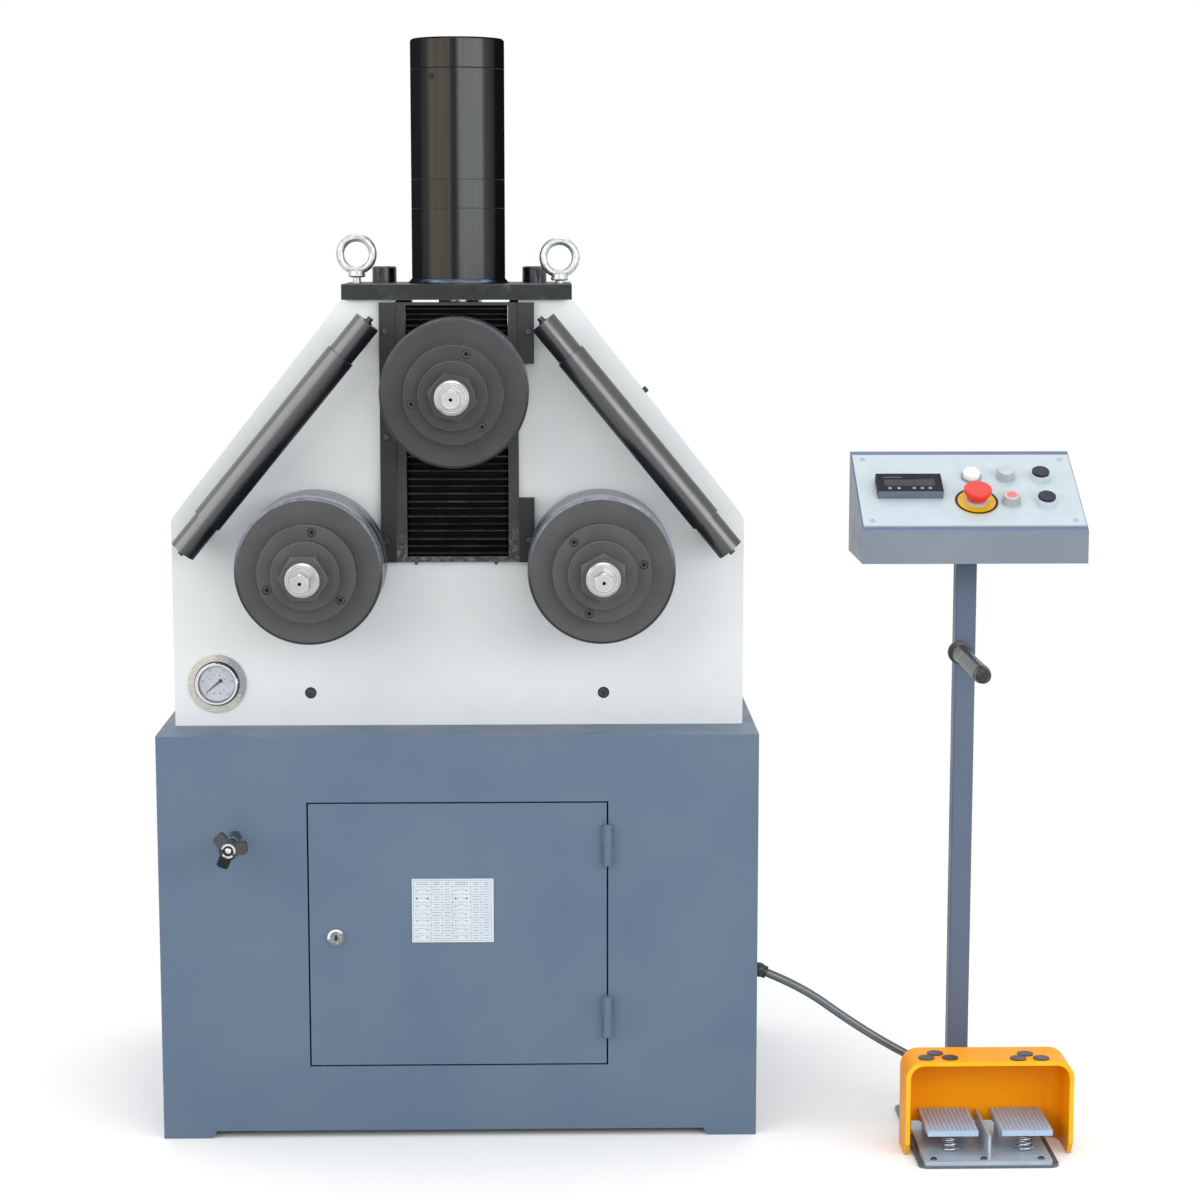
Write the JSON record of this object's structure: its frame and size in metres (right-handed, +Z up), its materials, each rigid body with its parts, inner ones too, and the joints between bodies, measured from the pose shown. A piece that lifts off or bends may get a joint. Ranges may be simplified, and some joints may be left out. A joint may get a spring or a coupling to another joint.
{
  "type": "ring roller",
  "caption": "Hydraulic ring roller: sheet steel cabinet, pressed upper roll over driven lower rolls, gauge, console on a column and guarded twin foot pedal.",
  "frame": {"origin": "centre of the four anchor holes in the cabinet's feet, on the floor", "axes": "+Z up, +X to the right seen from the operator's side, +Y from the rolls towards the back"},
  "size_m": [1.3297, 0.7625, 1.59],
  "materials": {
    "cabinet_paint": "satin powder coat, blue-grey",
    "head_paint": "satin powder coat, off-white",
    "black_paint": "semi-gloss black paint",
    "gloss_black": "gloss black paint",
    "roll_steel": "hardened steel, oiled and blackened",
    "bright_steel": "ground bright steel",
    "chrome": "polished",
    "zinc": "zinc plated",
    "black_screws": "black oxide",
    "aluminium": "satin",
    "chart_metal": "satin plate, blank",
    "bellows_fabric": "matt coated fabric",
    "console_paint": "satin powder coat, grey",
    "panel_paint": "pale satin film",
    "meter_plastic": "dark case",
    "clear_plastic": "translucent grey",
    "stop_plastic": "translucent with red centre",
    "dark_plastic": "dark blue-black",
    "red_plastic": "red",
    "bezel_metal": "silver bezels",
    "black_plastic": "black",
    "gauge_case": "black",
    "needle_black": "black",
    "glass": "clear",
    "guard_orange": "orange",
    "conduit_rubber": "black sheath",
    "motor_paint": "grey enamel",
    "rubber_plug": "dark plugs"
  },
  "bodies": {
    "frame": {"cabinet_shell": "cabinet_paint", "front_plate": "head_paint", "rear_frame": "head_paint", "side_covers": "head_paint", "gear_cover": "head_paint", "top_plate": "black_paint", "eye_bolts": "zinc", "cylinder_barrel": "gloss_black", "cylinder_heads": "gloss_black", "slide_gibs": "black_paint", "bellows_upper": "bellows_fabric", "bellows_lower": "bellows_fabric", "main_bearings": "bright_steel", "guide_brackets": "black_paint", "gauge_body": "gauge_case", "gauge_lens": "glass", "frame_screws": "black_screws", "flow_valve": "zinc", "gear_motor": "motor_paint", "cabinet_equipment": "motor_paint", "hydraulic_pipes": "zinc", "console_stand": "console_paint", "console_panel": "panel_paint", "console_meter": "meter_plastic", "button_bezels": "bezel_metal", "console_handle": "black_plastic", "pedal_base": "aluminium", "pedal_spring_left": "bright_steel", "pedal_spring_right": "bright_steel", "pedal_guard": "guard_orange", "guard_plugs": "rubber_plug", "control_conduit": "conduit_rubber", "cable_glands": "black_plastic"},
    "slide": {"slide_block": "black_paint", "upper_bearings": "bright_steel", "piston_rod": "chrome"},
    "upper_roll": {"upper_shaft": "bright_steel", "upper_roller_set": "roll_steel"},
    "left_roll": {"left_shaft": "bright_steel", "left_roller_set": "roll_steel", "left_gear": "bright_steel"},
    "right_roll": {"right_shaft": "bright_steel", "right_roller_set": "roll_steel", "right_gear": "bright_steel"},
    "pinion": {"drive_pinion": "bright_steel"},
    "left_guide": {"guide_tube_left": "black_paint"},
    "right_guide": {"guide_tube_right": "black_paint"},
    "door": {"cabinet_door": "cabinet_paint", "chart_plate": "chart_metal"},
    "latch": {"door_latch": "chrome"},
    "valve_knob": {"flow_knob": "black_plastic"},
    "needle": {"gauge_needle": "needle_black"},
    "start_button": {"button_start": "clear_plastic"},
    "stop_button": {"button_stop": "stop_plastic"},
    "up_button": {"button_up": "dark_plastic"},
    "down_button": {"button_down": "dark_plastic"},
    "stop_head": {"estop_head": "red_plastic"},
    "left_pedal": {"pedal_left": "aluminium"},
    "right_pedal": {"pedal_right": "aluminium"}
  },
  "joints": [
    {"name": "press_slide", "type": "slide", "parent": "frame", "child": "slide", "axis": [0, 0, -1], "range_m": [0, 0.11], "deforming": ["bellows_upper", "bellows_lower"]},
    {"name": "upper_roll_spin", "type": "hinge", "parent": "slide", "child": "upper_roll", "pos_m": [0, -0.084, 1.09], "axis": [0, 1, 0], "continuous": true},
    {"name": "left_roll_spin", "type": "hinge", "parent": "frame", "child": "left_roll", "pos_m": [-0.205, -0.084, 0.8425], "axis": [0, 1, 0], "continuous": true},
    {"name": "right_roll_spin", "type": "hinge", "parent": "frame", "child": "right_roll", "pos_m": [0.205, -0.084, 0.8425], "axis": [0, 1, 0], "continuous": true},
    {"name": "drive_pinion_spin", "type": "hinge", "parent": "frame", "child": "pinion", "pos_m": [0, 0.06, 0.8425], "axis": [0, 1, 0], "continuous": true},
    {"name": "left_guide_spin", "type": "hinge", "parent": "frame", "child": "left_guide", "pos_m": [-0.25755, -0.254, 1.0236], "axis": [-0.6354, 0, -0.7721], "continuous": true},
    {"name": "right_guide_spin", "type": "hinge", "parent": "frame", "child": "right_guide", "pos_m": [0.25755, -0.254, 1.0236], "axis": [0.6354, 0, -0.7721], "continuous": true},
    {"name": "door_hinge", "type": "hinge", "parent": "frame", "child": "door", "pos_m": [0.21475, -0.287, 0.3], "axis": [0, 0, 1], "range_deg": [0, 110]},
    {"name": "latch_turn", "type": "hinge", "parent": "door", "child": "latch", "pos_m": [-0.178, -0.28, 0.301], "axis": [0, 1, 0], "range_deg": [0, 90]},
    {"name": "valve_knob_turn", "type": "hinge", "parent": "frame", "child": "valve_knob", "pos_m": [-0.321, -0.3, 0.45], "axis": [0, 1, 0], "range_deg": [-150, 150]},
    {"name": "needle_turn", "type": "hinge", "parent": "frame", "child": "needle", "pos_m": [-0.353, -0.2, 0.6595], "axis": [0, 1, 0], "range_deg": [0, 270], "stiffness_Nm_per_rad": 0.002, "springref_deg": -11.46},
    {"name": "start_press", "type": "slide", "parent": "frame", "child": "start_button", "axis": [0, 0.5032, -0.8641], "range_m": [0, 0.003], "stiffness_N_per_m": 900, "springref_m": -0.001},
    {"name": "stop_press", "type": "slide", "parent": "frame", "child": "stop_button", "axis": [0, 0.5032, -0.8641], "range_m": [0, 0.003], "stiffness_N_per_m": 900, "springref_m": -0.001},
    {"name": "up_press", "type": "slide", "parent": "frame", "child": "up_button", "axis": [0, 0.5032, -0.8641], "range_m": [0, 0.003], "stiffness_N_per_m": 900, "springref_m": -0.001},
    {"name": "down_press", "type": "slide", "parent": "frame", "child": "down_button", "axis": [0, 0.5032, -0.8641], "range_m": [0, 0.003], "stiffness_N_per_m": 900, "springref_m": -0.001},
    {"name": "emergency_stop_press", "type": "slide", "parent": "frame", "child": "stop_head", "axis": [0, 0.5032, -0.8641], "range_m": [0, 0.004]},
    {"name": "left_pedal_press", "type": "hinge", "parent": "frame", "child": "left_pedal", "pos_m": [0.7035, -0.309, 0.03], "axis": [1, 0, 0], "range_deg": [0, 8], "stiffness_Nm_per_rad": 12, "springref_deg": -6.88, "deforming": ["pedal_spring_left"]},
    {"name": "right_pedal_press", "type": "hinge", "parent": "frame", "child": "right_pedal", "pos_m": [0.8095, -0.309, 0.03], "axis": [1, 0, 0], "range_deg": [0, 8], "stiffness_Nm_per_rad": 12, "springref_deg": -6.88, "deforming": ["pedal_spring_right"]}
  ],
  "couplings": [
    {"joint": "right_roll_spin", "follows": "left_roll_spin", "ratio": 1},
    {"joint": "drive_pinion_spin", "follows": "left_roll_spin", "ratio": -1.9286}
  ]
}
